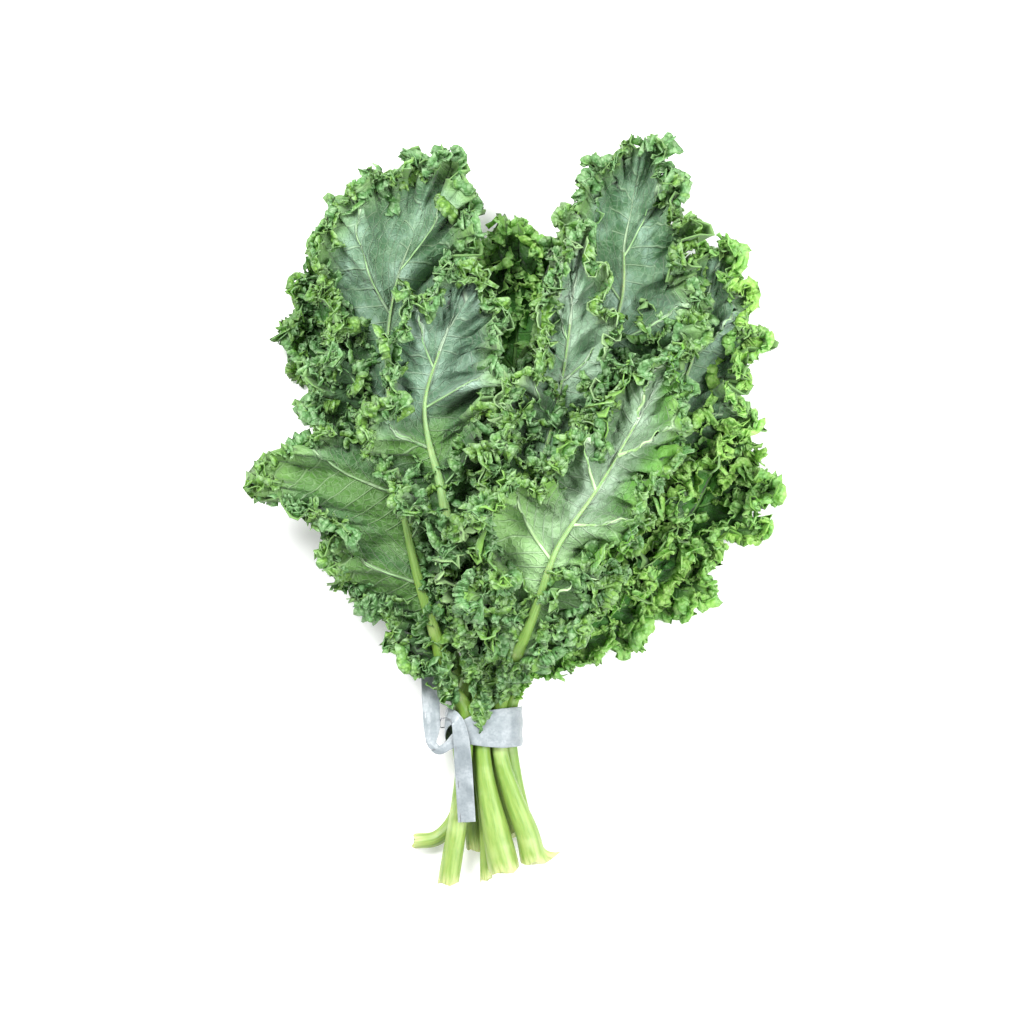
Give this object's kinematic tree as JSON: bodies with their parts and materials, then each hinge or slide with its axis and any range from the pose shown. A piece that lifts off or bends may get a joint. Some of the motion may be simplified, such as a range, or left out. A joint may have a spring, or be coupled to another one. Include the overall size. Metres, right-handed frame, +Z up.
{
  "type": "kale bunch",
  "caption": "Bunch of curly kale lying on its side, with long pale stalks held by a wide white twist tie and lobed, ruffled green leaves fanned into a heart.",
  "frame": {"origin": "on the surface that the bunch lies on, below the middle of its bounding box", "axes": "+Y from the cut stalk ends to the leaf tips, +X to the right as seen from above, +Z up"},
  "size_m": [0.264, 0.3794, 0.1092],
  "materials": {
    "leaf_upper_side": "waxy bright green upper side",
    "leaf_underside": "pale grey-green underside with raised veins",
    "tie_paper": "smooth white coated paper",
    "tie_wire": "bare steel"
  },
  "bodies": {
    "root": {"leaf_back_middle": "leaf_upper_side", "leaf_back_left": "leaf_upper_side", "leaf_back_right": "leaf_upper_side", "leaf_low_right": "leaf_upper_side", "leaf_right": "leaf_underside", "leaf_top_right": "leaf_underside", "leaf_left": "leaf_underside", "leaf_centre_left": "leaf_underside", "leaf_centre": "leaf_underside", "leaf_front_right": "leaf_underside", "tie_strip": "tie_paper", "tie_wire": "tie_wire"}
  },
  "joints": []
}
